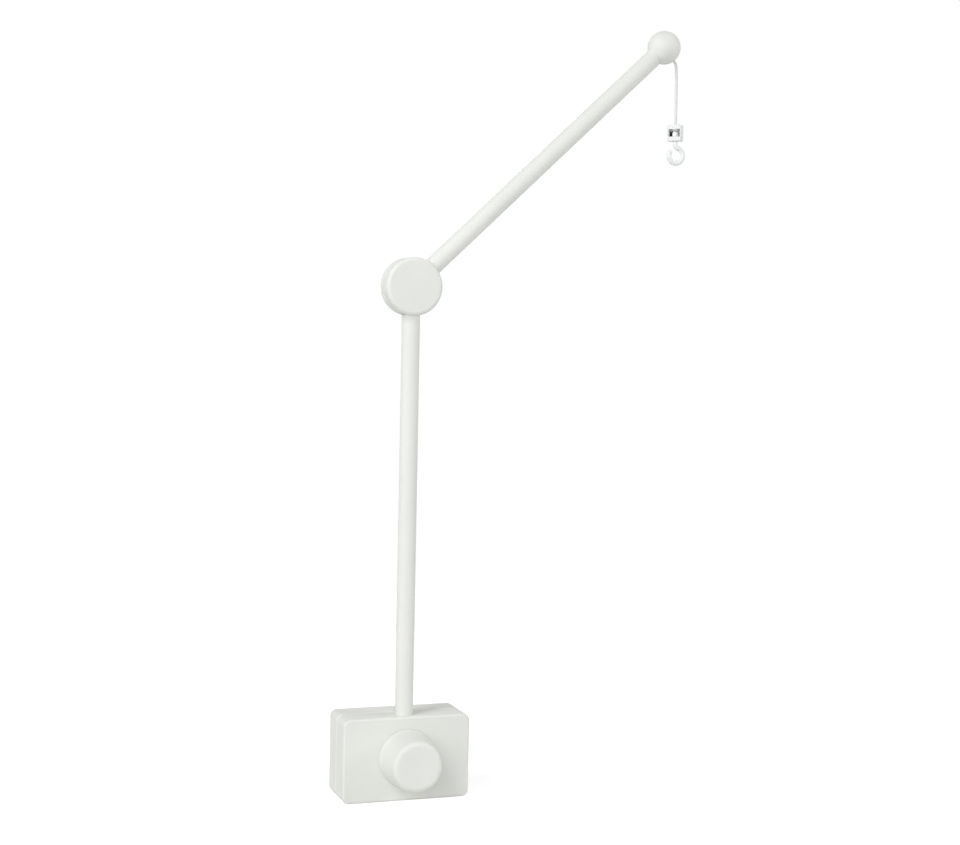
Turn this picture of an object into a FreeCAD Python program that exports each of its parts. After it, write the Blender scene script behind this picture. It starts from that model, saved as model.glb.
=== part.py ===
"""Clamp-on crib mobile arm: two clamp boards and a knob, a pole, a friction elbow, an arm and a hook.

Frame: +Z up, the arm reaches along +X, and the knob faces -Y. The origin is where the pole's axis
meets the plane that the clamp boards stand on. Lengths are in millimetres and angles in degrees.
"""
import FreeCAD, Part
import math
import os

import Sketcher

Vector = FreeCAD.Vector
Rotation = FreeCAD.Rotation

# The driving dimensions: alias in the sheet, value, and what it measures.
SIZES = [
    ("rod_diameter", 18.5, "pole and arm"),
    ("rod_clearance", 0.1, "radial gap between the pole and its socket in the clamp"),
    ("board_width", 134, "clamp boards, along X"),
    ("board_height", 86, "clamp boards, along Z"),
    ("board_depth", 27.5, "each clamp board, along Y"),
    ("board_corner", 7, "radius of the boards' corners seen from the front"),
    ("board_edge", 2, "radius along the boards' front and rear edges"),
    ("jaw_gap", 1.8, "between the closed boards"),
    ("jaw_pad", 0.7, "thickness of each rubber pad"),
    ("jaw_pad_inset", 4, "from a board's edge to its rubber pad"),
    ("jaw_travel", 25, "how far the rear board opens"),
    ("socket_depth", 25, "the pole's socket in the front board"),
    ("pole_lift", 0.6, "gap under the pole's end, which lets its screw turn"),
    ("screw_diameter", 6, "pole screw and elbow bolt"),
    ("screw_in_pole", 20, "length of the pole screw inside the pole"),
    ("insert_diameter", 9, "threaded inserts of the pole and elbow screws"),
    ("pole_insert_length", 10, "threaded insert under the pole"),
    ("elbow_insert_length", 7, "threaded insert in the front cheek"),
    ("bolt_diameter", 8, "clamp bolt"),
    ("bolt_height", 43.6, "clamp bolt's axis above the floor"),
    ("bolt_hole", 9, "clearance hole through the front board"),
    ("bolt_reach", 34, "how deep the closed clamp's bolt sits in the knob"),
    ("bolt_head", 20, "diameter of the clamp bolt's head"),
    ("bolt_head_height", 4.4, "thickness of the clamp bolt's head"),
    ("bolt_recess", 24, "diameter of the recess behind the bolt's head"),
    ("bolt_recess_depth", 6, "depth of that recess"),
    ("bolt_neck", 5, "length of the square neck under the bolt's head"),
    ("knob_base", 60, "knob's diameter beside the board"),
    ("knob_front", 50.4, "knob's diameter at its face"),
    ("knob_length", 40, "knob from base to face"),
    ("knob_face_radius", 5, "rounded edge of the knob's face"),
    ("knob_base_radius", 1, "rounded edge of the knob's base"),
    ("knob_gap", 0.4, "between the knob's base and the front board"),
    ("knob_bore", 9, "blind bore ahead of the knob's threaded insert"),
    ("knob_bore_depth", 36, "depth of that bore from the knob's base"),
    ("knob_insert", 13, "diameter of the knob's threaded insert"),
    ("knob_insert_length", 14, "length of the knob's threaded insert"),
    ("washer_diameter", 24, "thrust washer between board and knob"),
    ("washer_thickness", 1.5, "thrust washer"),
    ("washer_recess", 26, "recess for the washer in the knob's base"),
    ("turning_gap", 0.05, "radial gap of everything that turns on a bolt"),
    ("elbow_height", 524, "elbow's axis above the floor"),
    ("elbow_diameter", 59, "the two cheeks of the elbow"),
    ("elbow_thickness", 28, "over both cheeks"),
    ("elbow_edge", 4, "rounded outer edge of each cheek"),
    ("elbow_mouth", 10, "between the cheeks, where the hub turns"),
    ("hub_diameter", 58.4, "elbow hub"),
    ("hub_thickness", 9, "elbow hub and the arm's tongue"),
    ("cope_radius", 29.75, "rods are cut to this radius about the elbow's axis"),
    ("prong_end", 8, "from the elbow's axis to the end of the pole's prongs"),
    ("tongue_end", 12, "from the elbow's axis to the end of the arm's tongue"),
    ("friction_washer", 36, "diameter of the two nylon friction washers"),
    ("friction_thickness", 0.4, "thickness of each friction washer"),
    ("elbow_recess", 14, "diameter of the recess around the elbow bolt's head"),
    ("elbow_recess_depth", 6, "depth of that recess"),
    ("elbow_washer", 13, "diameter of the steel washer under that head"),
    ("elbow_washer_thickness", 1, "steel washer under that head"),
    ("elbow_head", 10, "diameter of the elbow bolt's head"),
    ("elbow_head_height", 4.5, "thickness of the elbow bolt's head"),
    ("elbow_key", 4, "hexagon key, across flats"),
    ("arm_angle", 43.4, "arm above horizontal, degrees"),
    ("arm_length", 378, "from the elbow's axis to the ball's centre"),
    ("ball_diameter", 35, "end ball"),
    ("arm_end", 3, "from the arm's end to the ball's centre"),
    ("knot_diameter", 7.4, "knot that holds the cord in the ball"),
    ("knot_room", 8, "diameter of the knot's room"),
    ("knot_shift", 1, "knot's centre beyond the ball's centre"),
    ("cord_diameter", 3.3, "braided cord"),
    ("cord_hole", 4.3, "cord's hole in the ball"),
    ("cord_mouth", 8.4, "widened mouth of that hole"),
    ("cord_mouth_depth", 3.2, "depth of the widened mouth"),
    ("cord_exit_angle", 91.4, "from the arm's axis down to the cord's hole, degrees"),
    ("cord_pivot", 18.8, "from the ball's centre to where the cord starts to swing"),
    ("cord_break", 2, "between that point and the still part of the cord"),
    ("swivel_axis", 15.65, "swivel's axis beyond the ball's centre, along X"),
    ("swivel_drop", 80.3, "swivel's top below the ball's centre"),
    ("swivel_width", 15.4, "swivel frame"),
    ("swivel_height", 17.5, "swivel frame"),
    ("swivel_depth", 9, "swivel frame"),
    ("swivel_edge", 1.4, "rounded edges of the swivel frame"),
    ("swivel_turn", 44, "how far the hanging swivel has turned, degrees"),
    ("swivel_roof", 4.6, "thickness of the swivel frame above its window"),
    ("window_width", 13, "window in the swivel frame"),
    ("window_height", 8, "window in the swivel frame"),
    ("window_back", 0.8, "wall of the swivel frame behind its window"),
    ("liner_wall", 0.4, "thickness of the dark lining in the window"),
    ("liner_inset", 0.5, "from the frame's face to the lining"),
    ("liner_reach", 1, "how far the lining passes the swivel's axis"),
    ("stop_diameter", 6.2, "crimped stop on the cord's end"),
    ("stop_height", 1.6, "crimped stop on the cord's end"),
    ("shank_diameter", 4.4, "hook's shank in the swivel frame"),
    ("hook_head", 6.2, "diameter of the head on the shank"),
    ("hook_head_gap", 0.2, "between that head and the window's sill"),
    ("hook_head_height", 5.6, "height of the head on the shank"),
    ("hook_section", 5.3, "thickness of the hook"),
    ("hook_ring", 8.1, "radius of the hook's centre line"),
    ("hook_offset", 1.25, "ring's centre beside the shank's axis"),
    ("hook_drop", 14.8, "ring's centre below the swivel frame"),
    ("hook_gap", 0.3, "between the swivel frame and the hook"),
    ("hook_neck", 1.75, "straight part of the neck"),
    ("hook_neck_bend", 5, "radius of the neck's bend"),
    ("hook_tip_angle", 157, "where the hook's tip ends on its ring, degrees"),
]

# Lengths that follow from the driving ones, as expressions of the sheet.
FRONT_FACE = "(Sizes.board_depth / 2)"
REAR_START = "(Sizes.board_depth / 2 + Sizes.jaw_gap)"
REAR_FACE = "(1.5 * Sizes.board_depth + Sizes.jaw_gap)"
BOLT_SEAT = "(1.5 * Sizes.board_depth + Sizes.jaw_gap - Sizes.bolt_recess_depth)"
SOCKET_FLOOR = "(Sizes.board_height - Sizes.socket_depth)"
POLE_START = "(Sizes.board_height - Sizes.socket_depth + Sizes.pole_lift)"
KNOB_BASE = "(Sizes.board_depth / 2 + Sizes.knob_gap)"
KNOB_SEAT = "(Sizes.board_depth / 2 + Sizes.washer_thickness + 0.1)"
CHEEK_INNER = "(Sizes.elbow_mouth / 2)"
CHEEK_OUTER = "(Sizes.elbow_thickness / 2)"
WINDOW_TOP = "Sizes.swivel_roof"
WINDOW_SILL = "(Sizes.swivel_roof + Sizes.window_height)"
HOOK_TOP = "(Sizes.swivel_height + Sizes.hook_gap)"
RING_CENTRE = "(Sizes.swivel_height + Sizes.hook_drop)"

doc = FreeCAD.newDocument("crib_mobile")
sheet = doc.addObject("Spreadsheet::Sheet", "Sizes")
for row, (alias, size, meaning) in enumerate(SIZES, start=1):
    sheet.set(f"A{row}", meaning)
    sheet.set(f"B{row}", str(size))
    sheet.setAlias(f"B{row}", alias)
doc.recompute()

nodes = []


# ---- helpers ---------------------------------------------------------------------------------


def number(expression):
    """The value of an expression of the sheet."""
    value = sheet.evalExpression(expression)
    return float(getattr(value, "Value", value))


def new_body(label, placement=None):
    """A body that becomes one sub-part."""
    body = doc.addObject("PartDesign::Body", label)
    body.Label = label
    if placement:
        body.Placement = placement
    nodes.append(body)
    return body


def sketch_on(body, role, offset="0"):
    """A sketch on one of the body's own origin planes, moved along that plane's normal."""
    plane = next(f for f in body.Origin.OriginFeatures if f.Role == role)
    sketch = body.newObject("Sketcher::SketchObject", f"{body.Label}_sketch")
    sketch.AttachmentSupport = [(plane, "")]
    sketch.MapMode = "FlatFace"
    sketch.setExpression("AttachmentOffset.Base.z", offset)
    doc.recompute()
    return sketch


def bind(sketch, kind, where, expression):
    """A dimension of the sketch, driven by the sheet."""
    index = sketch.addConstraint(Sketcher.Constraint(kind, *where, number(expression)))
    sketch.setExpression(f"Constraints[{index}]", expression)


def place(sketch, geometry, point, x, y):
    """Ties a point of the sketch to (x, y), each an expression."""
    if x == "0":
        sketch.addConstraint(Sketcher.Constraint("PointOnObject", geometry, point, -2))
    else:
        bind(sketch, "DistanceX", (geometry, point), x)
    if y == "0":
        sketch.addConstraint(Sketcher.Constraint("PointOnObject", geometry, point, -1))
    else:
        bind(sketch, "DistanceY", (geometry, point), y)


def circle(sketch, diameter, x="0", y="0"):
    centre = Vector(number(x), number(y), 0)
    index = sketch.addGeometry(Part.Circle(centre, Vector(0, 0, 1), number(diameter) / 2))
    bind(sketch, "Diameter", (index,), diameter)
    place(sketch, index, 3, x, y)


def outline(sketch, points):
    """A closed outline of straight lines through points, each a pair of expressions."""
    corners = [Vector(number(x), number(y), 0) for x, y in points]
    first = sketch.GeometryCount
    for i, start in enumerate(corners):
        sketch.addGeometry(Part.LineSegment(start, corners[(i + 1) % len(corners)]))
    for i, (x, y) in enumerate(points):
        before = first + (i - 1) % len(points)
        sketch.addConstraint(Sketcher.Constraint("Coincident", before, 2, first + i, 1))
        place(sketch, first + i, 1, x, y)


def rectangle(sketch, left, right, low, high):
    outline(sketch, [(left, low), (right, low), (right, high), (left, high)])


def pad(body, sketch, length, backwards=False, both_ways=False):
    feature = body.newObject("PartDesign::Pad", f"{body.Label}_pad")
    feature.Profile = sketch
    feature.setExpression("Length", length)
    feature.Reversed = backwards
    if both_ways:
        feature.SideType = "Symmetric"
    doc.recompute()
    return feature


def pocket(body, sketch, length=None, backwards=False, both_ways=False):
    """Cuts the sketch's shape out of the body, through everything where no length is given."""
    before = body.Shape.Volume
    feature = body.newObject("PartDesign::Pocket", f"{body.Label}_pocket")
    feature.Profile = sketch
    feature.Reversed = backwards
    if both_ways:
        feature.SideType = "Symmetric"
    if length:
        feature.setExpression("Length", length)
    else:
        feature.Type = "ThroughAll"
    doc.recompute()
    if body.Shape.Volume > before - 1e-3:
        raise RuntimeError(f"a pocket of {body.Label} cuts nothing")
    return feature


def edges_where(feature, test):
    """Names of the feature's edges that pass a test."""
    return [f"Edge{i}" for i, e in enumerate(feature.Shape.Edges, start=1) if test(e)]


def lies_at(axis, *values):
    """A test for edges that lie in one of the planes axis = value."""

    def test(edge):
        box = edge.BoundBox
        low, high = getattr(box, axis + "Min"), getattr(box, axis + "Max")
        return any(abs(low - v) < 1e-4 and abs(high - v) < 1e-4 for v in values)

    return test


def runs_along(axis):
    """A test for straight edges along an axis."""

    def test(edge):
        box = edge.BoundBox
        spans = {"X": box.XLength, "Y": box.YLength, "Z": box.ZLength}
        return spans.pop(axis) > 1e-3 and max(spans.values()) < 1e-4

    return test


def dress(body, kind, feature, test, size):
    """Fillets or chamfers the feature's edges that pass a test."""
    edge_feature = body.newObject(f"PartDesign::{kind}", f"{body.Label}_{kind.lower()}")
    edge_feature.Base = (feature, edges_where(feature, test))
    edge_feature.setExpression("Radius" if kind == "Fillet" else "Size", size)
    doc.recompute()
    return edge_feature


def turn(body, points, role="YZ_Plane"):
    """A solid of revolution about the sketch's horizontal axis, from (along, radius) points."""
    sketch = sketch_on(body, role)
    outline(sketch, points)
    feature = body.newObject("PartDesign::Revolution", f"{body.Label}_turned")
    feature.Profile = sketch
    feature.ReferenceAxis = (sketch, ["H_Axis"])
    doc.recompute()
    return feature


def turned_body(label, points, placement=None):
    body = new_body(label, placement)
    turn(body, points)
    return body


def drill_y(body, diameter, start=None, length=None, z="0"):
    """A round hole along Y: right through, or from y = start towards +Y."""
    sketch = sketch_on(body, "XZ_Plane", f"-({start})" if start else "0")
    circle(sketch, diameter, "0", z)
    pocket(body, sketch, length, both_ways=start is None)


def at(x=0, y=0, z=0, rotation=None):
    return FreeCAD.Placement(Vector(x, y, z), rotation or Rotation())


def knurled_insert(label, length, outer, inner, placement, ridges=4):
    """A press-in threaded insert along local +Y, with ridges around it. Its thread stays plain."""
    low = f"(({outer}) / 2 - 0.4)"
    high = f"(({outer}) / 2)"
    points = [("0", f"(({inner}) / 2)"), ("0", low)]
    for i in range(ridges):
        points.append((f"({length} * {i + 0.25} / {ridges})", low))
        points.append((f"({length} * {i + 0.4} / {ridges})", high))
        points.append((f"({length} * {i + 0.75} / {ridges})", high))
        points.append((f"({length} * {i + 0.9} / {ridges})", low))
    points += [(length, low), (length, f"(({inner}) / 2)")]
    return turned_body(label, points, placement)


# ---- clamp -----------------------------------------------------------------------------------


def clamp_board(label, start):
    """A board of the clamp with rounded corners and edges, from y = start towards +Y."""
    body = new_body(label)
    sketch = sketch_on(body, "XZ_Plane", f"-({start})")
    half = "Sizes.board_width / 2"
    rectangle(sketch, f"-{half}", half, "0", "Sizes.board_height")
    board = pad(body, sketch, "Sizes.board_depth", backwards=True)
    rounded = dress(body, "Fillet", board, runs_along("Y"), "Sizes.board_corner")
    low = number(start)
    faces = lies_at("Y", low, low + number("Sizes.board_depth"))
    dress(body, "Fillet", rounded, faces, "Sizes.board_edge")
    return body


def front_board():
    """Carries the pole in a socket above the clamp bolt."""
    body = clamp_board("front_block", f"-{FRONT_FACE}")
    socket = sketch_on(body, "XY_Plane", "Sizes.board_height")
    circle(socket, "Sizes.rod_diameter + 2 * Sizes.rod_clearance")
    pocket(body, socket, "Sizes.socket_depth")
    seat = sketch_on(body, "XY_Plane", SOCKET_FLOOR)
    circle(seat, "Sizes.insert_diameter")
    pocket(body, seat, "Sizes.pole_insert_length")
    drill_y(body, "Sizes.bolt_hole", z="Sizes.bolt_height")


def rear_board():
    """Slides on the clamp bolt, whose head and square neck are let into its rear face."""
    body = clamp_board("back_board", REAR_START)
    drill_y(body, "Sizes.bolt_diameter", z="Sizes.bolt_height")
    drill_y(body, "Sizes.bolt_recess", BOLT_SEAT, "Sizes.bolt_recess_depth", "Sizes.bolt_height")
    neck = sketch_on(body, "XZ_Plane", f"-{BOLT_SEAT}")
    half = "Sizes.bolt_diameter / 2"
    rectangle(neck, f"-{half}", half, f"Sizes.bolt_height - {half}", f"Sizes.bolt_height + {half}")
    pocket(body, neck, "Sizes.bolt_neck", backwards=True)


def jaw_pad(label, start):
    """A rubber pad glued to a board's gripping face, with a hole for the clamp bolt."""
    body = new_body(label)
    sketch = sketch_on(body, "XZ_Plane", f"-({start})")
    half = "(Sizes.board_width / 2 - Sizes.jaw_pad_inset)"
    top = "Sizes.board_height - Sizes.jaw_pad_inset"
    rectangle(sketch, f"-{half}", half, "Sizes.jaw_pad_inset", top)
    circle(sketch, "Sizes.bolt_hole + 3", "0", "Sizes.bolt_height")
    slab = pad(body, sketch, "Sizes.jaw_pad", backwards=True)
    dress(body, "Fillet", slab, runs_along("Y"), "Sizes.board_corner - 2")


def clamp_bolt():
    """A coach bolt: round head, square neck and a long shank into the knob."""
    body = new_body("carriage_bolt", at(z=number("Sizes.bolt_height")))
    radius = "Sizes.bolt_diameter / 2"
    tip = f"-({KNOB_BASE} + Sizes.bolt_reach)"
    head_end = f"({BOLT_SEAT} + Sizes.bolt_head_height)"
    turned = turn(
        body,
        [
            (tip, "0"),
            (tip, f"{radius} - 1"),
            (f"{tip} + 1", radius),
            (BOLT_SEAT, radius),
            (BOLT_SEAT, "Sizes.bolt_head / 2"),
            (head_end, "Sizes.bolt_head / 2"),
            (head_end, "0"),
        ],
    )
    dress(body, "Fillet", turned, lies_at("Y", number(head_end)), "Sizes.bolt_head_height - 0.8")
    neck = sketch_on(body, "XZ_Plane", f"-{BOLT_SEAT}")
    rectangle(neck, f"-{radius}", radius, f"-{radius}", radius)
    pad(body, neck, "Sizes.bolt_neck")


def thrust_washer():
    face = f"-{FRONT_FACE}"
    front = f"-({FRONT_FACE} + Sizes.washer_thickness)"
    hole, rim = "(Sizes.bolt_hole / 2)", "(Sizes.washer_diameter / 2)"
    points = [(face, hole), (face, rim), (front, rim), (front, hole)]
    turned_body("thrust_washer", points, at(z=number("Sizes.bolt_height")))


def knob():
    """A tapered turned knob with a deep blind bore, so that the bolt can run into it."""
    body = new_body("knob", at(z=number("Sizes.bolt_height")))
    base = f"-{KNOB_BASE}"
    face = f"-({KNOB_BASE} + Sizes.knob_length)"
    bore_end = f"-({KNOB_BASE} + Sizes.knob_bore_depth)"
    insert_end = f"-({KNOB_SEAT} + Sizes.knob_insert_length)"
    turned = turn(
        body,
        [
            (base, "Sizes.washer_recess / 2"),
            (base, "Sizes.knob_base / 2"),
            (face, "Sizes.knob_front / 2"),
            (face, "0"),
            (bore_end, "0"),
            (bore_end, "Sizes.knob_bore / 2"),
            (insert_end, "Sizes.knob_bore / 2"),
            (insert_end, "Sizes.knob_insert / 2"),
            (f"-{KNOB_SEAT}", "Sizes.knob_insert / 2"),
            (f"-{KNOB_SEAT}", "Sizes.washer_recess / 2"),
        ],
    )
    rounded = dress(body, "Fillet", turned, lies_at("Y", number(face)), "Sizes.knob_face_radius")
    rim = number("Sizes.knob_base")

    def base_rim(edge):
        return lies_at("Y", number(base))(edge) and edge.BoundBox.XLength > rim - 1

    dress(body, "Fillet", rounded, base_rim, "Sizes.knob_base_radius")


# ---- pole ------------------------------------------------------------------------------------


def pole():
    """A rod whose top is slotted into two prongs that are glued into the elbow's cheeks."""
    body = new_body("pole")
    foot = sketch_on(body, "XY_Plane", POLE_START)
    circle(foot, "Sizes.rod_diameter")
    rod = pad(body, foot, f"Sizes.elbow_height - Sizes.prong_end - {POLE_START}")
    dress(body, "Chamfer", rod, lies_at("Z", number(POLE_START)), "0.8")
    slot = sketch_on(body, "XZ_Plane")
    circle(slot, "2 * Sizes.cope_radius", "0", "Sizes.elbow_height")
    pocket(body, slot, "Sizes.elbow_mouth", both_ways=True)
    hole = sketch_on(body, "XY_Plane", POLE_START)
    circle(hole, "Sizes.screw_diameter")
    pocket(body, hole, "Sizes.screw_in_pole", backwards=True)


def pole_screw():
    """A headless screw, fixed in the pole, that turns in the insert under it."""
    start = number(f"{SOCKET_FLOOR} - Sizes.pole_insert_length + 0.5")
    upright = at(z=start, rotation=Rotation(Vector(1, 0, 0), 90))
    length = f"({POLE_START} + Sizes.screw_in_pole - {SOCKET_FLOOR} + Sizes.pole_insert_length - 0.5)"
    radius = "Sizes.screw_diameter / 2"
    points = [
        ("0", "0"),
        ("0", f"{radius} - 0.8"),
        ("0.8", radius),
        (length, radius),
        (length, "0"),
    ]
    turned_body("pole_stud", points, upright)


def elbow_cheek(label, turned):
    """A disc of the elbow on the -Y side, with a rounded outer edge and a groove for the prong."""
    height = number("Sizes.elbow_height")
    body = new_body(label, at(z=height, rotation=Rotation(Vector(0, 0, 1), turned)))
    disc_sketch = sketch_on(body, "XZ_Plane", CHEEK_INNER)
    circle(disc_sketch, "Sizes.elbow_diameter")
    disc = pad(body, disc_sketch, f"{CHEEK_OUTER} - {CHEEK_INNER}")
    rounded = dress(body, "Fillet", disc, lies_at("Y", -number(CHEEK_OUTER)), "Sizes.elbow_edge")
    dress(body, "Chamfer", rounded, lies_at("Y", -number(CHEEK_INNER)), "0.4")
    groove = sketch_on(body, "XY_Plane", "-Sizes.prong_end")
    circle(groove, "Sizes.rod_diameter")
    pocket(body, groove)
    return body


def elbow_cheeks():
    """Two like discs face to face: one takes the bolt's insert and the other its head."""
    front = elbow_cheek("elbow_front_cheek", 0)
    floor = f"-({CHEEK_INNER} + Sizes.elbow_insert_length + 0.5)"
    drill_y(front, "Sizes.insert_diameter", floor, "Sizes.elbow_insert_length + 0.5")
    rear = elbow_cheek("elbow_rear_cheek", 180)
    drill_y(rear, "Sizes.screw_diameter + 0.4")
    drill_y(rear, "Sizes.elbow_recess", f"-{CHEEK_OUTER}", "Sizes.elbow_recess_depth")


def elbow_bolt():
    """A low-head socket screw from the rear into the front cheek's insert."""
    body = new_body("elbow_bolt", at(z=number("Sizes.elbow_height")))
    radius = "Sizes.screw_diameter / 2"
    tip = f"-({CHEEK_INNER} + Sizes.elbow_insert_length - 0.3)"
    seat = f"({CHEEK_OUTER} - Sizes.elbow_recess_depth + Sizes.elbow_washer_thickness)"
    end = f"({seat} + Sizes.elbow_head_height)"
    turned = turn(
        body,
        [
            (tip, "0"),
            (tip, f"{radius} - 0.8"),
            (f"{tip} + 0.8", radius),
            (seat, radius),
            (seat, "Sizes.elbow_head / 2"),
            (end, "Sizes.elbow_head / 2"),
            (end, "0"),
        ],
    )
    dress(body, "Fillet", turned, lies_at("Y", number(end)), "0.6")
    key = sketch_on(body, "XZ_Plane", f"-{end}")
    corners = [f"{60 * i} deg" for i in range(6)]
    reach = "Sizes.elbow_key / sqrt(3)"
    outline(key, [(f"({reach} * cos({a}))", f"({reach} * sin({a}))") for a in corners])
    pocket(body, key, "2.4", backwards=True)


def elbow_washer():
    seat = f"({CHEEK_OUTER} - Sizes.elbow_recess_depth)"
    top = f"({seat} + Sizes.elbow_washer_thickness)"
    hole, rim = "(Sizes.screw_diameter / 2 + 0.2)", "(Sizes.elbow_washer / 2)"
    points = [(seat, hole), (seat, rim), (top, rim), (top, hole)]
    turned_body("elbow_washer", points, at(z=number("Sizes.elbow_height")))


# ---- arm -------------------------------------------------------------------------------------


def arm_frame():
    """Local X runs along the arm from the elbow's axis."""
    lift = Rotation(Vector(0, 1, 0), -number("Sizes.arm_angle"))
    return at(z=number("Sizes.elbow_height"), rotation=lift)


def elbow_hub():
    """The disc between the cheeks, notched for the arm's tongue."""
    body = new_body("elbow_hub", arm_frame())
    disc_sketch = sketch_on(body, "XZ_Plane")
    circle(disc_sketch, "Sizes.hub_diameter")
    disc = pad(body, disc_sketch, "Sizes.hub_thickness", both_ways=True)
    half = number("Sizes.hub_thickness / 2")
    dress(body, "Chamfer", disc, lies_at("Y", half, -half), "0.4")
    notch = sketch_on(body, "YZ_Plane", "Sizes.tongue_end")
    circle(notch, "Sizes.rod_diameter")
    pocket(body, notch, backwards=True)
    drill_y(body, "Sizes.screw_diameter + 2 * Sizes.turning_gap")


def arm():
    """A rod coped to the elbow's cheeks, with a flat tongue that is glued into the hub."""
    body = new_body("arm", arm_frame())
    root = sketch_on(body, "YZ_Plane", "Sizes.tongue_end")
    circle(root, "Sizes.rod_diameter")
    rod = pad(body, root, "Sizes.arm_length - Sizes.arm_end - Sizes.tongue_end")
    dress(body, "Chamfer", rod, lies_at("X", number("Sizes.arm_length - Sizes.arm_end")), "0.6")
    cope = sketch_on(body, "XZ_Plane", "-Sizes.hub_thickness / 2")
    circle(cope, "2 * Sizes.cope_radius")
    upper_side = pocket(body, cope)
    before = body.Shape.Volume
    other_side = body.newObject("PartDesign::Mirrored", "arm_cope_mirrored")
    other_side.Originals = [upper_side]
    plane = next(f for f in body.Origin.OriginFeatures if f.Role == "XZ_Plane")
    other_side.MirrorPlane = (plane, [""])
    body.Tip = other_side
    doc.recompute()
    if body.Shape.Volume > before - 1:
        raise RuntimeError("the arm's second cope cuts nothing")


def friction_washers():
    """Two nylon washers, one on each side of the hub."""
    washers = []
    for side in (-1, 1):
        ring = doc.addObject("Part::Cylinder", f"friction_disc_{len(washers)}")
        ring.setExpression("Radius", "Sizes.friction_washer / 2")
        ring.setExpression("Height", "Sizes.friction_thickness")
        hole = doc.addObject("Part::Cylinder", f"friction_hole_{len(washers)}")
        hole.setExpression("Radius", "Sizes.screw_diameter / 2 + Sizes.turning_gap")
        hole.setExpression("Height", "Sizes.friction_thickness")
        washer = doc.addObject("Part::Cut", f"friction_washer_{len(washers)}")
        washer.Base, washer.Tool = ring, hole
        washer.Placement = at(
            y=side * number("Sizes.hub_thickness / 2"),
            rotation=Rotation(Vector(1, 0, 0), -90 * side),
        )
        washers.append(washer)
    pair = doc.addObject("Part::Compound", "friction_washers")
    pair.Label = "friction_washers"
    pair.Links = washers
    pair.Placement = at(z=number("Sizes.elbow_height"))
    nodes.append(pair)


def ball_frame(angle, distance):
    """A placement in the ball whose local Z points along a direction in the arm's own XZ plane."""
    radians = math.radians(angle)
    centre = Vector(number("Sizes.arm_length"), 0, 0)
    along = Vector(math.cos(radians), 0, math.sin(radians))
    return FreeCAD.Placement(centre + along * distance, Rotation(Vector(0, 0, 1), along))


def primitive(kind, name, placement, **sizes):
    """A Part primitive whose sizes are expressions of the sheet."""
    solid = doc.addObject(f"Part::{kind}", name)
    for size, expression in sizes.items():
        solid.setExpression(size, expression)
    solid.Placement = placement
    return solid


def end_ball():
    """A turned ball with a socket for the arm, room for the knot and a flared hole for the cord."""
    down = -number("Sizes.cord_exit_angle")
    ball_radius = number("Sizes.ball_diameter / 2")
    ball = primitive("Sphere", "ball_blank", ball_frame(0, 0), Radius="Sizes.ball_diameter / 2")
    socket = primitive(
        "Cylinder",
        "ball_socket",
        ball_frame(180, number("Sizes.arm_end")),
        Radius="Sizes.rod_diameter / 2",
        Height="Sizes.ball_diameter",
    )
    room = primitive(
        "Cylinder",
        "knot_room",
        ball_frame(0, -number("Sizes.arm_end")),
        Radius="Sizes.knot_room / 2",
        Height="Sizes.arm_end + Sizes.knot_shift + Sizes.knot_room / 2",
    )
    hole = primitive(
        "Cylinder",
        "cord_hole",
        ball_frame(down, 0),
        Radius="Sizes.cord_hole / 2",
        Height="Sizes.ball_diameter",
    )
    mouth = primitive(
        "Cone",
        "cord_mouth",
        ball_frame(down, ball_radius - number("Sizes.cord_mouth_depth")),
        Radius1="Sizes.cord_hole / 2",
        Radius2="Sizes.cord_mouth / 2",
        Height="Sizes.cord_mouth_depth",
    )
    cuts = doc.addObject("Part::MultiFuse", "ball_cuts")
    cuts.Shapes = [socket, room, hole, mouth]
    drilled = doc.addObject("Part::Cut", "end_ball")
    drilled.Label = "end_ball"
    drilled.Base, drilled.Tool = ball, cuts
    drilled.Placement = arm_frame()
    nodes.append(drilled)


def cord_knot():
    """The knot inside the ball and the still part of the cord, up to where it starts to swing."""
    down = -number("Sizes.cord_exit_angle")
    knot = primitive(
        "Sphere",
        "knot",
        ball_frame(0, number("Sizes.knot_shift")),
        Radius="Sizes.knot_diameter / 2",
    )
    tail = primitive(
        "Cylinder",
        "knot_tail",
        ball_frame(down, 0),
        Radius="Sizes.cord_diameter / 2",
        Height="Sizes.cord_pivot - Sizes.cord_break",
    )
    tied = doc.addObject("Part::Fuse", "cord_knot")
    tied.Label = "cord_knot"
    tied.Base, tied.Tool = knot, tail
    tied.Placement = arm_frame()
    nodes.append(tied)


# ---- cord, swivel and hook -------------------------------------------------------------------


def ball_centre():
    return arm_frame().multVec(Vector(number("Sizes.arm_length"), 0, 0))


def hanger_frame(turned=0):
    """On the swivel's axis at the top of its frame, turned about Z."""
    axis = ball_centre() + Vector(number("Sizes.swivel_axis"), 0, -number("Sizes.swivel_drop"))
    return FreeCAD.Placement(axis, Rotation(Vector(0, 0, 1), -turned))


# The cord's route after the point where it starts to swing, as (x, z) from the ball's centre.
# Its last point is on the swivel's axis, where the cord meets its stop.
CORD_ROUTE = [(14.3, -15.9), (14.9, -21.5), (15.35, -32.0), (15.55, -52.0), (15.62, -70.0)]


def tangent_arcs(points, radii):
    """Straight runs through points, joined by arcs of the given radii, as one wire."""
    edges = []
    start = points[0]
    for corner, after, radius in zip(points[1:-1], points[2:], radii):
        into = (corner - start).normalize()
        out = (after - corner).normalize()
        turn_angle = into.getAngle(out)
        reach = radius * math.tan(turn_angle / 2)
        first, last = corner - into * reach, corner + out * reach
        middle = corner + (out - into).normalize() * (radius / math.cos(turn_angle / 2) - radius)
        edges.append(Part.LineSegment(start, first).toShape())
        edges.append(Part.Arc(first, middle, last).toShape())
        start = last
    edges.append(Part.LineSegment(start, points[-1]).toShape())
    return Part.Wire(edges)


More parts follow.
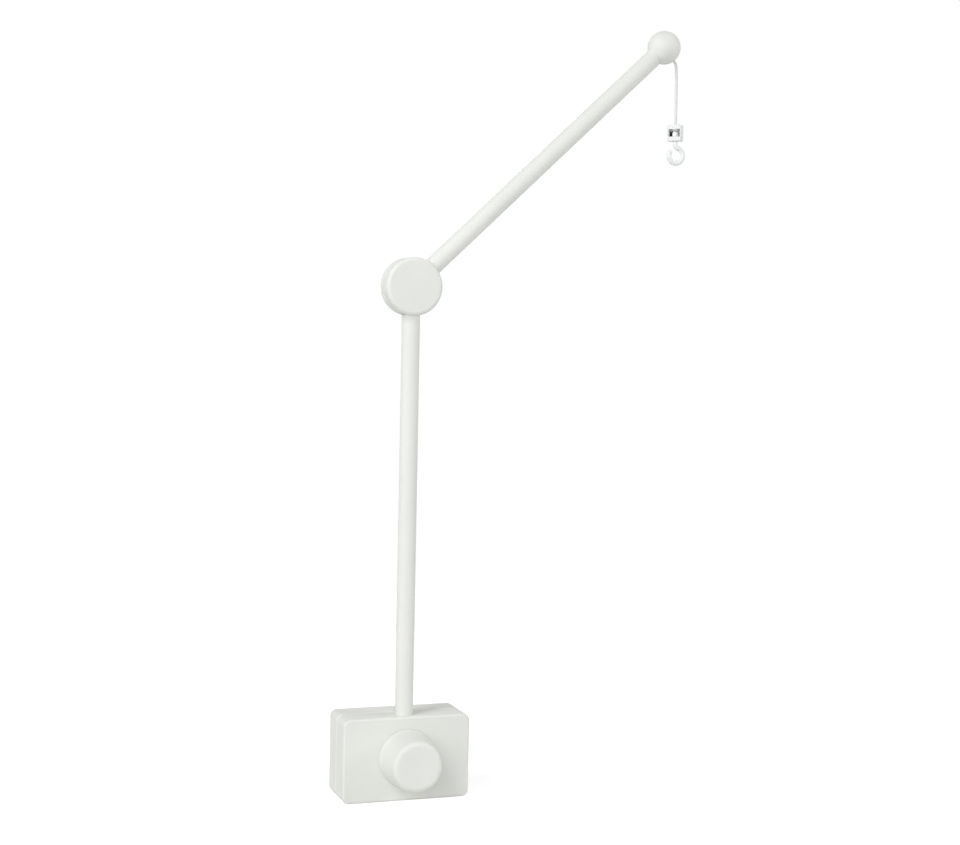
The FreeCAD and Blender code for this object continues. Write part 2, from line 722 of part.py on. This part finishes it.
def cord():
    """The hanging cord, a plain tube whose rounded start is the centre of its swing."""
    angle = math.radians(number("Sizes.arm_angle - Sizes.cord_exit_angle"))
    centre = ball_centre()
    pivot = centre + Vector(math.cos(angle), 0, math.sin(angle)) * number("Sizes.cord_pivot")
    end = hanger_frame().Base - Vector(0, 0, number(WINDOW_TOP))
    points = [pivot] + [centre + Vector(x, 0, z) for x, z in CORD_ROUTE] + [end]
    runs = [(b - a).Length for a, b in zip(points, points[1:])]
    turns = [
        (b - a).getAngle(c - b) for a, b, c in zip(points, points[1:], points[2:])
    ]
    radii = [
        0.45 * min(before, after) / math.tan(bend / 2)
        for before, after, bend in zip(runs, runs[1:], turns)
    ]
    wire = tangent_arcs(points, radii)
    radius = number("Sizes.cord_diameter / 2")
    profile = Part.Wire(Part.Circle(pivot, points[1] - pivot, radius).toShape())
    tube = wire.makePipeShell([profile], True, False)
    drift = tube.Volume / (math.pi * radius**2 * wire.Length) - 1
    print(f"cord: length {wire.Length:.1f} mm, volume off by {100 * drift:.2f}%, arc radii in mm",
          [round(r, 1) for r in radii])
    hanging = doc.addObject("Part::Feature", "cord")
    hanging.Label = "cord"
    hanging.Shape = tube.fuse(Part.makeSphere(radius, pivot)).removeSplitter()
    nodes.append(hanging)


def swivel_frame():
    """A small rounded frame that hangs on the cord and lets the hook turn."""
    body = new_body("swivel_frame", hanger_frame(number("Sizes.swivel_turn")))
    face = sketch_on(body, "XZ_Plane")
    half = "Sizes.swivel_width / 2"
    rectangle(face, f"-{half}", half, "-Sizes.swivel_height", "0")
    block = pad(body, face, "Sizes.swivel_depth", both_ways=True)
    dress(body, "Fillet", block, lambda edge: True, "Sizes.swivel_edge")
    window = sketch_on(body, "XZ_Plane", "Sizes.swivel_depth / 2")
    half = "Sizes.window_width / 2"
    rectangle(window, f"-{half}", half, f"-{WINDOW_SILL}", f"-{WINDOW_TOP}")
    pocket(body, window, "Sizes.swivel_depth - Sizes.window_back")
    top = sketch_on(body, "XY_Plane")
    circle(top, "Sizes.cord_diameter + 0.2")
    pocket(body, top, WINDOW_TOP)
    bottom = sketch_on(body, "XY_Plane", f"-{WINDOW_SILL}")
    circle(bottom, "Sizes.shank_diameter + 2 * Sizes.turning_gap")
    pocket(body, bottom)


def swivel_liner():
    """A dark lining on the window's left wall and on half of its back wall."""
    body = new_body("swivel_liner", hanger_frame(number("Sizes.swivel_turn")))
    lining = sketch_on(body, "XY_Plane", f"-{WINDOW_SILL}")
    left = "(-Sizes.window_width / 2)"
    front = "(Sizes.liner_inset - Sizes.swivel_depth / 2)"
    back = "(Sizes.swivel_depth / 2 - Sizes.window_back)"
    inner = f"({left} + Sizes.liner_wall)"
    face = f"({back} - Sizes.liner_wall)"
    corners = [(left, front), (inner, front), (inner, face)]
    corners += [("Sizes.liner_reach", face), ("Sizes.liner_reach", back), (left, back)]
    outline(lining, corners)
    pad(body, lining, "Sizes.window_height")


def cord_stop():
    """The crimped stop that keeps the cord's end under the swivel frame's roof."""
    upright = hanger_frame().multiply(at(rotation=Rotation(Vector(1, 0, 0), -90)))
    low, rim = f"({WINDOW_TOP} + Sizes.stop_height)", "Sizes.stop_diameter / 2"
    points = [(WINDOW_TOP, "0"), (WINDOW_TOP, rim), (low, rim), (low, "0")]
    body = new_body("cord_stop", upright)
    turned = turn(body, points)
    dress(body, "Chamfer", turned, lies_at("Y", number(low)), "0.3")


def hook():
    """An open ring swept along its centre line, on a shank whose head turns in the swivel."""
    body = new_body("hook", hanger_frame())
    profile = sketch_on(body, "XY_Plane", f"-{HOOK_TOP}")
    circle(profile, "Sizes.hook_section")
    path = sketch_on(body, "XZ_Plane")
    start, ring = number(HOOK_TOP), number(RING_CENTRE)
    neck, bend = number("Sizes.hook_neck"), number("Sizes.hook_neck_bend")
    offset, radius = number("Sizes.hook_offset"), number("Sizes.hook_ring")
    tip = math.radians(number("Sizes.hook_tip_angle"))
    # The run between the bend and the ring touches both circles from opposite sides.
    bend_centre = Vector(bend, -start - neck, 0)
    ring_centre = Vector(offset, -ring, 0)
    between = ring_centre - bend_centre
    slant = math.atan2(between.y, between.x) + math.acos((bend + radius) / between.Length)
    outward = Vector(math.cos(slant), math.sin(slant), 0)
    leave, join = bend_centre + outward * bend, ring_centre - outward * radius
    up = Vector(0, 0, 1)
    path.addGeometry(Part.LineSegment(Vector(0, -start, 0), Vector(0, -start - neck, 0)))
    path.addGeometry(
        Part.ArcOfCircle(Part.Circle(bend_centre, up, bend), math.pi, slant % (2 * math.pi))
    )
    path.addGeometry(Part.LineSegment(leave, join))
    ring_start = math.atan2(-outward.y, -outward.x)
    path.addGeometry(
        Part.ArcOfCircle(Part.Circle(ring_centre, up, radius), tip, ring_start + 2 * math.pi)
    )
    path.addConstraint(Sketcher.Constraint("Tangent", 0, 2, 1, 1))
    path.addConstraint(Sketcher.Constraint("Tangent", 1, 2, 2, 1))
    path.addConstraint(Sketcher.Constraint("Tangent", 2, 2, 3, 2))
    place(path, 0, 1, "0", f"-{HOOK_TOP}")
    place(path, 0, 2, "0", f"-({HOOK_TOP} + Sizes.hook_neck)")
    bind(path, "Radius", (1,), "Sizes.hook_neck_bend")
    bind(path, "Radius", (3,), "Sizes.hook_ring")
    place(path, 3, 3, "Sizes.hook_offset", f"-{RING_CENTRE}")
    bind(
        path,
        "DistanceX",
        (3, 1),
        "Sizes.hook_offset + Sizes.hook_ring * cos(Sizes.hook_tip_angle * 1 deg)",
    )
    doc.recompute()
    wire = body.newObject("PartDesign::AdditivePipe", "hook_wire")
    wire.Profile = profile
    wire.Spine = (path, ["Edge1", "Edge2", "Edge3", "Edge4"])
    doc.recompute()
    # The ball that rounds the hook's tip.
    ball = body.newObject("PartDesign::AdditiveSphere", "hook_tip")
    ball.setExpression("Radius", "Sizes.hook_section / 2")
    tip_x = offset + radius * math.cos(tip)
    tip_z = radius * math.sin(tip) - ring
    ball.Placement = at(x=tip_x, z=tip_z)
    doc.recompute()
    shank = sketch_on(body, "XY_Plane", f"-{HOOK_TOP}")
    circle(shank, "Sizes.shank_diameter")
    head_low = f"{WINDOW_SILL} - Sizes.hook_head_gap"
    pad(body, shank, f"{HOOK_TOP} - ({head_low})")
    head = sketch_on(body, "XY_Plane", f"-({head_low})")
    circle(head, "Sizes.hook_head")
    button = pad(body, head, "Sizes.hook_head_height")
    head_high = -number(f"{head_low} - Sizes.hook_head_height")
    dress(body, "Fillet", button, lies_at("Z", head_high), "2")


# ---- build and export ------------------------------------------------------------------------

front_board()
rear_board()
jaw_pad("front_jaw_pad", FRONT_FACE)
jaw_pad("back_jaw_pad", f"{REAR_START} - Sizes.jaw_pad")
clamp_bolt()
thrust_washer()
knob()
knurled_insert(
    "knob_insert",
    "Sizes.knob_insert_length",
    "Sizes.knob_insert",
    "Sizes.bolt_diameter + 2 * Sizes.turning_gap",
    at(y=-number(KNOB_SEAT), z=number("Sizes.bolt_height"), rotation=Rotation(Vector(0, 0, 1), 180)),
)
knurled_insert(
    "pole_insert",
    "Sizes.pole_insert_length",
    "Sizes.insert_diameter",
    "Sizes.screw_diameter + 2 * Sizes.turning_gap",
    at(
        z=number(f"{SOCKET_FLOOR} - Sizes.pole_insert_length"),
        rotation=Rotation(Vector(1, 0, 0), 90),
    ),
)
pole()
pole_screw()
elbow_cheeks()
elbow_bolt()
elbow_washer()
knurled_insert(
    "elbow_insert",
    "Sizes.elbow_insert_length",
    "Sizes.insert_diameter",
    "Sizes.screw_diameter",
    at(
        y=-number(CHEEK_INNER),
        z=number("Sizes.elbow_height"),
        rotation=Rotation(Vector(0, 0, 1), 180),
    ),
    ridges=3,
)
elbow_hub()
arm()
friction_washers()
end_ball()
cord_knot()
cord()
swivel_frame()
swivel_liner()
cord_stop()
hook()

doc.recompute()
for thing in doc.Objects:
    if "Invalid" in thing.State or "Error" in thing.State:
        raise RuntimeError(f"{thing.Label} failed: {thing.State}")
for node in nodes:
    if node.Shape.isNull() or not node.Shape.isValid():
        raise RuntimeError(f"{node.Label} has no valid shape")

os.makedirs("parts", exist_ok=True)
for node in nodes:
    node.Shape.exportStep(f"parts/{node.Label}.step")
    print(f"{node.Label}: {len(node.Shape.Solids)} solid(s), {node.Shape.Volume:.0f} mm3")
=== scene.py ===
"""A clamp-on crib mobile arm in a plain studio: lacquered wood, braided cord, moulded hook."""

import math

import bpy
from mathutils import Matrix, Vector


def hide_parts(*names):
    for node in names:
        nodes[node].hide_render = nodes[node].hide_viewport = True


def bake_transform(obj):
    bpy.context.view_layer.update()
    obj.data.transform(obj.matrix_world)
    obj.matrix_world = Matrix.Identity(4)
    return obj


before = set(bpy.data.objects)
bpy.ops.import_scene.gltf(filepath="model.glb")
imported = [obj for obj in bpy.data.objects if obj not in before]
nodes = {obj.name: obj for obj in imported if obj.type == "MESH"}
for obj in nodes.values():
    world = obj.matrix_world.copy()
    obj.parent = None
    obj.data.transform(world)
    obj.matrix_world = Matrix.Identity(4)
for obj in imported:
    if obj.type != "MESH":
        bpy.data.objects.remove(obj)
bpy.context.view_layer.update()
scene = bpy.context.scene

# The part's own sizes, in metres and radians.
ELBOW_HEIGHT = 0.524
ARM_LENGTH = 0.378
ARM_ANGLE = math.radians(43.4)
REACH, RISE = ARM_LENGTH * math.cos(ARM_ANGLE), ARM_LENGTH * math.sin(ARM_ANGLE)
BALL = Vector((REACH, 0, ELBOW_HEIGHT + RISE))
SWIVEL_OFFSET = 0.01565  # from the ball's centre to the swivel's axis
SWIVEL_X = REACH + SWIVEL_OFFSET
SWIVEL_TURN = math.radians(44)


# ---- camera ----------------------------------------------------------------------------------


def make_camera():
    """Low at the front left, looking slightly down, with the small roll of a hand-held picture."""
    yaw, pitch, roll = math.radians(19.46), math.radians(3.0), math.radians(1.16)
    camera = bpy.data.objects.new("camera", bpy.data.cameras.new("camera"))
    scene.collection.objects.link(camera)
    camera.data.sensor_width = 36
    camera.data.lens = 65
    turned = Matrix.Rotation(-yaw, 4, "Z") @ Matrix.Rotation(math.pi / 2 - pitch, 4, "X")
    place = Matrix.Translation((-0.5189, -1.6851, 0.4798))
    camera.matrix_world = place @ turned @ Matrix.Rotation(roll, 4, "Z")
    scene.camera = camera


# ---- material helpers ------------------------------------------------------------------------


class Nodes:
    """A material's node tree, with short calls for the nodes that these materials use."""

    def __init__(self, name):
        self.material = bpy.data.materials.new(name)
        self.material.use_nodes = True
        self.tree = self.material.node_tree
        self.shader = self.tree.nodes["Principled BSDF"]

    def add(self, kind, **settings):
        node = self.tree.nodes.new(f"ShaderNode{kind}")
        for key, value in settings.items():
            setattr(node, key, value)
        return node

    def link(self, source, target):
        self.tree.links.new(source, target)

    def coordinates(self, scale=(1, 1, 1), rotation=(0, 0, 0)):
        """The piece's own coordinates in metres, turned and scaled."""
        where = self.add("TexCoord")
        mapping = self.add("Mapping")
        mapping.inputs["Rotation"].default_value = rotation
        mapping.inputs["Scale"].default_value = scale
        self.link(where.outputs["Object"], mapping.inputs["Vector"])
        return mapping.outputs["Vector"]

    def noise(self, vector, scale, detail=3.0, roughness=0.5):
        noise = self.add("TexNoise")
        noise.inputs["Scale"].default_value = scale
        noise.inputs["Detail"].default_value = detail
        noise.inputs["Roughness"].default_value = roughness
        self.link(vector, noise.inputs["Vector"])
        return noise.outputs["Fac"]

    def ramp(self, factor, low, high, start=0.0, end=1.0):
        """Two colours blended along a factor."""
        ramp = self.add("ValToRGB")
        ramp.color_ramp.elements[0].position = start
        ramp.color_ramp.elements[1].position = end
        ramp.color_ramp.elements[0].color = (*low, 1)
        ramp.color_ramp.elements[1].color = (*high, 1)
        self.link(factor, ramp.inputs["Fac"])
        return ramp.outputs["Color"]

    def between(self, factor, low, high, start=0.3, end=0.7):
        """A number blended along a factor."""
        span = self.add("MapRange")
        span.inputs["From Min"].default_value = start
        span.inputs["From Max"].default_value = end
        span.inputs["To Min"].default_value = low
        span.inputs["To Max"].default_value = high
        self.link(factor, span.inputs["Value"])
        return span.outputs["Result"]

    def larger(self, one, other):
        """The larger of two numbers."""
        larger = self.add("Math", operation="MAXIMUM")
        self.link(one, larger.inputs[0])
        self.link(other, larger.inputs[1])
        return larger.outputs[0]

    def bump(self, height, strength, distance, under=None):
        bump = self.add("Bump")
        bump.inputs["Strength"].default_value = strength
        bump.inputs["Distance"].default_value = distance
        self.link(height, bump.inputs["Height"])
        if under:
            self.link(under, bump.inputs["Normal"])
        return bump.outputs["Normal"]

    def set(self, **sockets):
        """Numbers and colours that are the same all over the surface."""
        for key, value in sockets.items():
            self.shader.inputs[key.replace("_", " ")].default_value = value

    def wire(self, **sockets):
        """Outputs of other nodes that drive the surface."""
        for key, value in sockets.items():
            self.link(value, self.shader.inputs[key.replace("_", " ")])
        return self.material


# ---- materials -------------------------------------------------------------------------------


def lacquer(name, rotation=(0, 0, 0)):
    """Sprayed off-white lacquer on sanded hardwood, whose pores show faintly along local X."""
    m = Nodes(name)
    even = m.coordinates()
    along = m.coordinates(scale=(14, 420, 420), rotation=rotation)
    pores = m.noise(along, 1.0, detail=4.0, roughness=0.6)
    cloudy = m.noise(even, 22.0, detail=2.0)
    peel = m.noise(even, 900.0, detail=1.0)
    colour = m.ramp(cloudy, (0.767, 0.781, 0.746), (0.802, 0.811, 0.777), 0.3, 0.7)
    normal = m.bump(pores, 0.10, 0.0002)
    normal = m.bump(peel, 0.05, 0.0001, under=normal)
    m.set(IOR=1.46, Specular_IOR_Level=0.3)
    return m.wire(Base_Color=colour, Roughness=m.between(pores, 0.44, 0.54), Normal=normal)


def metal(name, low, high, roughness, scale):
    """Plated or plain metal with fine marks of the lathe."""
    m = Nodes(name)
    marks = m.noise(m.coordinates(scale=scale), 1.0, detail=3.0)
    m.set(Metallic=1.0)
    normal = m.bump(marks, 0.15, 0.0001)
    rough = m.between(marks, roughness - 0.06, roughness + 0.08)
    return m.wire(Base_Color=m.ramp(marks, low, high, 0.3, 0.7), Roughness=rough, Normal=normal)


def plastic(name, low, high, roughness):
    """Moulded plastic with a faint texture."""
    m = Nodes(name)
    even = m.coordinates()
    skin = m.noise(even, 1800.0, detail=2.0)
    colour = m.ramp(m.noise(even, 160.0), low, high, 0.35, 0.65)
    rough = m.between(skin, roughness - 0.05, roughness + 0.06)
    return m.wire(Base_Color=colour, Roughness=rough, Normal=m.bump(skin, 0.06, 0.00005))


def painted_window_shade(edge, lip, top):
    """The swivel window's liner with painted shade: black left of edge, deeper than lip and under
    top, where the recess lies in shade, else white.

    edge and lip are metres from the swivel's axis, to its right and to its back."""
    m = Nodes("window_painted_shade")
    even = m.coordinates()
    right = (math.cos(SWIVEL_TURN), -math.sin(SWIVEL_TURN), 0)
    front = (-math.sin(SWIVEL_TURN), -math.cos(SWIVEL_TURN), 0)
    pale = None
    for way, start in ((right, edge), (front, -lip), ((0, 0, 1), top)):
        along = m.add("VectorMath", operation="DOT_PRODUCT")
        along.inputs[1].default_value = way
        m.link(even, along.inputs[0])
        start += SWIVEL_X * way[0]
        past = m.between(along.outputs["Value"], 0, 1, start, start + 0.0002)
        pale = m.larger(pale, past) if pale else past
    skin = m.noise(even, 1800.0, detail=2.0)
    normal = m.bump(skin, 0.06, 0.00005)
    # painted shade: black in the window's shaded recess, white where light reaches
    colour = m.ramp(pale, (0.008, 0.008, 0.008), (0.84, 0.845, 0.845))
    return m.wire(Base_Color=colour, Roughness=m.between(skin, 0.45, 0.6), Normal=normal)


def braid():
    """Cotton yarn, with fibres that run a little unevenly."""
    m = Nodes("braided_cotton")
    fibre = m.noise(m.coordinates(scale=(1, 1, 0.35)), 5200.0, detail=3.0)
    colour = m.ramp(fibre, (0.72, 0.725, 0.73), (0.87, 0.87, 0.875), 0.3, 0.7)
    m.set(Sheen_Weight=0.25, Sheen_Roughness=0.5)
    normal = m.bump(fibre, 0.35, 0.00008)
    return m.wire(Base_Color=colour, Roughness=m.between(fibre, 0.78, 0.92), Normal=normal)


def dress(names, material):
    """Give CAD nodes a material."""
    for name in names:
        for slot in nodes[name].material_slots:
            slot.material = material


def dress_all():
    """Every CAD node but the cord, which make_cord replaces."""
    along_x = lacquer("lacquer_along_x")
    upright = lacquer("lacquer_upright", (0, math.pi / 2, 0))
    dress(["front_block", "back_board"], along_x)
    dress(["knob", "elbow_front_cheek", "elbow_rear_cheek"], along_x)
    dress(["pole"], upright)
    dress(["arm", "elbow_hub", "end_ball"], lacquer("lacquer_along_arm", (0, ARM_ANGLE, 0)))
    zinc = metal("zinc_plate", (0.50, 0.51, 0.53), (0.60, 0.61, 0.63), 0.36, (900, 900, 900))
    dress(["carriage_bolt", "thrust_washer", "pole_stud"], zinc)
    dress(["elbow_bolt", "elbow_washer"], zinc)
    brass = metal("brass", (0.72, 0.52, 0.24), (0.80, 0.60, 0.30), 0.30, (700, 700, 700))
    dress(["pole_insert", "knob_insert", "elbow_insert"], brass)
    dress(["friction_washers"], plastic("nylon", (0.70, 0.70, 0.67), (0.76, 0.76, 0.73), 0.5))
    white = plastic("white_plastic", (0.775, 0.785, 0.79), (0.805, 0.815, 0.82), 0.32)
    dress(["swivel_frame"], white)
    dress(["hook"], plastic("hook_plastic", (0.84, 0.85, 0.855), (0.87, 0.88, 0.885), 0.32))
    # the liner carries painted shade in the window's recess
    dress(["swivel_liner"], painted_window_shade(edge=-0.0039, lip=0.0007, top=0.6971))
    dress(["cord_stop"], plastic("stop_plastic", (0.70, 0.70, 0.70), (0.76, 0.76, 0.76), 0.6))
    rubber = plastic("pad_rubber", (0.30, 0.30, 0.29), (0.36, 0.36, 0.35), 0.8)
    dress(["front_jaw_pad", "back_jaw_pad"], rubber)


# ---- cord ------------------------------------------------------------------------------------

CORD_DIAMETER = 0.0033
CORD_STEP = 0.0005
CORE_RADIUS = CORD_DIAMETER / 2 - 0.00045
YARNS = 8  # that wind each way
YARN_WIDTHS = (0.00042, 0.00024)  # half its width and half its height
YARN_RADIUS = CORD_DIAMETER / 2 - 0.00038
YARN_LIFT = 0.00011
BRAID_PITCH = 0.0092
MOUTH_DEPTH = 0.0164  # from the ball's centre to the cord's start
MOUTH_ANGLE = ARM_ANGLE - math.radians(91.4)
ACROSS = Vector((0, 1, 0))  # square to the plane that the cord hangs in


def cord_points():
    """The cord's route: out of the ball's mouth, and down to the swivel's roof."""
    out = Vector((math.cos(MOUTH_ANGLE), 0, math.sin(MOUTH_ANGLE)))
    route = [(0.0143, -0.0159), (0.0149, -0.0215), (0.01535, -0.0320)]
    route += [(0.01555, -0.0520), (0.01562, -0.0700), (SWIVEL_OFFSET, -0.0849)]
    return [BALL + out * MOUTH_DEPTH] + [BALL + Vector((x, 0, z)) for x, z in route]


def smooth_line(points):
    """Points read from the route's NURBS spline."""
    curve = bpy.data.curves.new("route", "CURVE")
    curve.dimensions = "3D"
    curve.resolution_u = 24
    spline = curve.splines.new("NURBS")
    spline.points.add(len(points) - 1)
    for point, place in zip(spline.points, points):
        point.co = (*place, 1)
    spline.order_u = 3
    spline.use_endpoint_u = True
    holder = bpy.data.objects.new("route", curve)
    mesh = bpy.data.meshes.new_from_object(holder)
    line = [v.co.copy() for v in mesh.vertices]
    bpy.data.objects.remove(holder)
    return line


def even_steps(points, step):
    """The same line at even steps, and the distance of each step from its start."""
    total = sum((b - a).length for a, b in zip(points, points[1:]))
    count = round(total / step)
    line, distances = [points[0]], [0.0]
    travelled, i = 0.0, 0
    for k in range(1, count):
        target = total * k / count
        while travelled + (points[i + 1] - points[i]).length < target:
            travelled += (points[i + 1] - points[i]).length
            i += 1
        part = (target - travelled) / (points[i + 1] - points[i]).length
        line.append(points[i].lerp(points[i + 1], part))
        distances.append(target)
    return line + [points[-1]], distances + [total]


def tube(frames, half_width, half_height):
    """Vertices and faces of a closed oval tube about a line of (centre, side, out) frames."""
    ring = 8
    vertices, faces = [], []
    for centre, side, out in frames:
        for k in range(ring):
            angle = 2 * math.pi * k / ring
            across, up = half_width * math.cos(angle), half_height * math.sin(angle)
            vertices.append(centre + (side * across + out * up))
    for i in range(len(frames) - 1):
        for k in range(ring):
            a, b = i * ring + k, i * ring + (k + 1) % ring
            faces.append((a, b, b + ring, a + ring))
    last = (len(frames) - 1) * ring
    faces.append(tuple(reversed(range(ring))))
    faces.append(tuple(range(last, last + ring)))
    return vertices, faces


def yarn(line, distances, way, start):
    """Frames of one yarn that winds round the cord, over and under those that cross it."""
    slope = 2 * math.pi * YARN_RADIUS / BRAID_PITCH
    frames = []
    for i, centre in enumerate(line):
        ahead = (line[min(i + 1, len(line) - 1)] - line[max(i - 1, 0)]).normalized()
        level = ahead.cross(ACROSS)
        turn = 2 * math.pi * distances[i] / BRAID_PITCH
        angle = way * turn + start
        out = ACROSS * math.cos(angle) + level * math.sin(angle)
        lift = YARN_LIFT * way * math.cos(YARNS * turn)
        round_way = (out.cross(ahead) * way).normalized()
        along = (ahead - round_way * slope).normalized()
        frames.append((centre + out * (YARN_RADIUS + lift), along.cross(out).normalized(), out))
    return frames


def make_cord():
    """A braided cord: two sets of yarns, woven over and under each other round a core."""
    line, distances = even_steps(smooth_line(cord_points()), CORD_STEP)
    core = [(centre, ACROSS, (b - a).normalized().cross(ACROSS))
            for centre, a, b in zip(line, line[:1] + line[:-1], line[1:] + line[-1:])]
    pieces = [tube(core, CORE_RADIUS, CORE_RADIUS)]
    for way in (1, -1):
        for k in range(YARNS):
            start = 2 * math.pi * k / YARNS
            pieces.append(tube(yarn(line, distances, way, start), *YARN_WIDTHS))
    vertices, faces = [], []
    for points, polygons in pieces:
        base = len(vertices)
        vertices += points
        faces += [tuple(base + v for v in polygon) for polygon in polygons]
    mesh = bpy.data.meshes.new("braided_cord")
    mesh.from_pydata(vertices, [], faces)
    mesh.polygons.foreach_set("use_smooth", [True] * len(mesh.polygons))
    mesh.update()
    cord = bpy.data.objects.new("braided_cord", mesh)
    scene.collection.objects.link(cord)
    mesh.materials.append(braid())
    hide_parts("cord")
    start = cord_points()[0]
    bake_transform(cord)


# ---- studio ----------------------------------------------------------------------------------

AIM = Vector((0.1, 0, 0.42))


def area_light(name, place, size, power):
    """A round soft lamp that points at the middle of the object."""
    light = bpy.data.objects.new(name, bpy.data.lights.new(name, "AREA"))
    light.data.shape = "DISK"
    light.data.size = size
    light.data.energy = power
    scene.collection.objects.link(light)
    light.location = place
    light.rotation_euler = (AIM - Vector(place)).to_track_quat("-Z", "Y").to_euler()


def seen_rays(tree):
    """A factor that is 1 for rays of the camera, of gloss and of glass."""
    path = tree.nodes.new("ShaderNodeLightPath")
    total = path.outputs["Is Camera Ray"]
    for other in ("Is Glossy Ray", "Is Transmission Ray"):
        both = tree.nodes.new("ShaderNodeMath")
        both.operation = "MAXIMUM"
        tree.links.new(total, both.inputs[0])
        tree.links.new(path.outputs[other], both.inputs[1])
        total = both.outputs[0]
    return total


def make_world():
    """A white room, which the camera, gloss and glass see brighter than it lights the object."""
    world = bpy.data.worlds.new("studio")
    world.use_nodes = True
    tree = world.node_tree
    scene.world = world
    pick = tree.nodes.new("ShaderNodeMix")
    pick.inputs["A"].default_value = 0.415
    pick.inputs["B"].default_value = 1.0
    tree.links.new(seen_rays(tree), pick.inputs["Factor"])
    shine = tree.nodes["Background"]
    shine.inputs["Color"].default_value = (1, 1, 1, 1)
    tree.links.new(pick.outputs["Result"], shine.inputs["Strength"])


def make_floor():
    """White paper that keeps the object's shadow and fades into the room away from the object."""
    bpy.ops.mesh.primitive_circle_add(vertices=96, radius=6, fill_type="NGON")
    floor = bpy.context.object
    floor.name = "floor"
    floor.location.z = -0.0002
    m = Nodes("floor_paper")
    tree = m.tree
    texture = m.noise(m.coordinates(), 600.0)
    m.set(Roughness=0.95, Specular_IOR_Level=0.0)
    seen = seen_rays(tree)
    colour = m.add("Mix", data_type="RGBA")
    bounced, seen_paper = colour.inputs[6], colour.inputs[7]  # a colour mix's A and B
    bounced.default_value = (0.80, 0.80, 0.79, 1)
    m.link(seen, colour.inputs["Factor"])
    m.link(m.ramp(texture, (0.96, 0.96, 0.96), (0.98, 0.98, 0.98)), seen_paper)
    m.set(Emission_Color=(1, 1, 1, 1))
    m.wire(Base_Color=colour.outputs[2], Emission_Strength=m.between(seen, 0, 0.42, 0, 1))
    far = m.add("VectorMath", operation="LENGTH")
    m.link(m.coordinates(), far.inputs[0])
    fade = m.between(far.outputs["Value"], 0.0, 1.0, 0.5, 1.6)
    clear = m.add("BsdfTransparent")
    blend = m.add("MixShader")
    m.link(fade, blend.inputs["Fac"])
    m.link(m.shader.outputs["BSDF"], blend.inputs[1])
    m.link(clear.outputs["BSDF"], blend.inputs[2])
    m.link(blend.outputs["Shader"], tree.nodes["Material Output"].inputs["Surface"])
    floor.data.materials.append(m.material)


def make_studio():
    make_world()
    make_floor()
    area_light("key", (-1.45, -0.72, 1.96), 0.9, 19.5)
    area_light("left", (-1.64, -1.46, 0.74), 1.2, 10.5)
    area_light("front", (-0.68, -2.14, 0.74), 1.2, 9)
    area_light("fill", (2.13, -0.74, 1.21), 1.2, 14.2)


# ---- the scene -------------------------------------------------------------------------------

scene.view_settings.view_transform = "Standard"
make_camera()
make_cord()
dress_all()
make_studio()
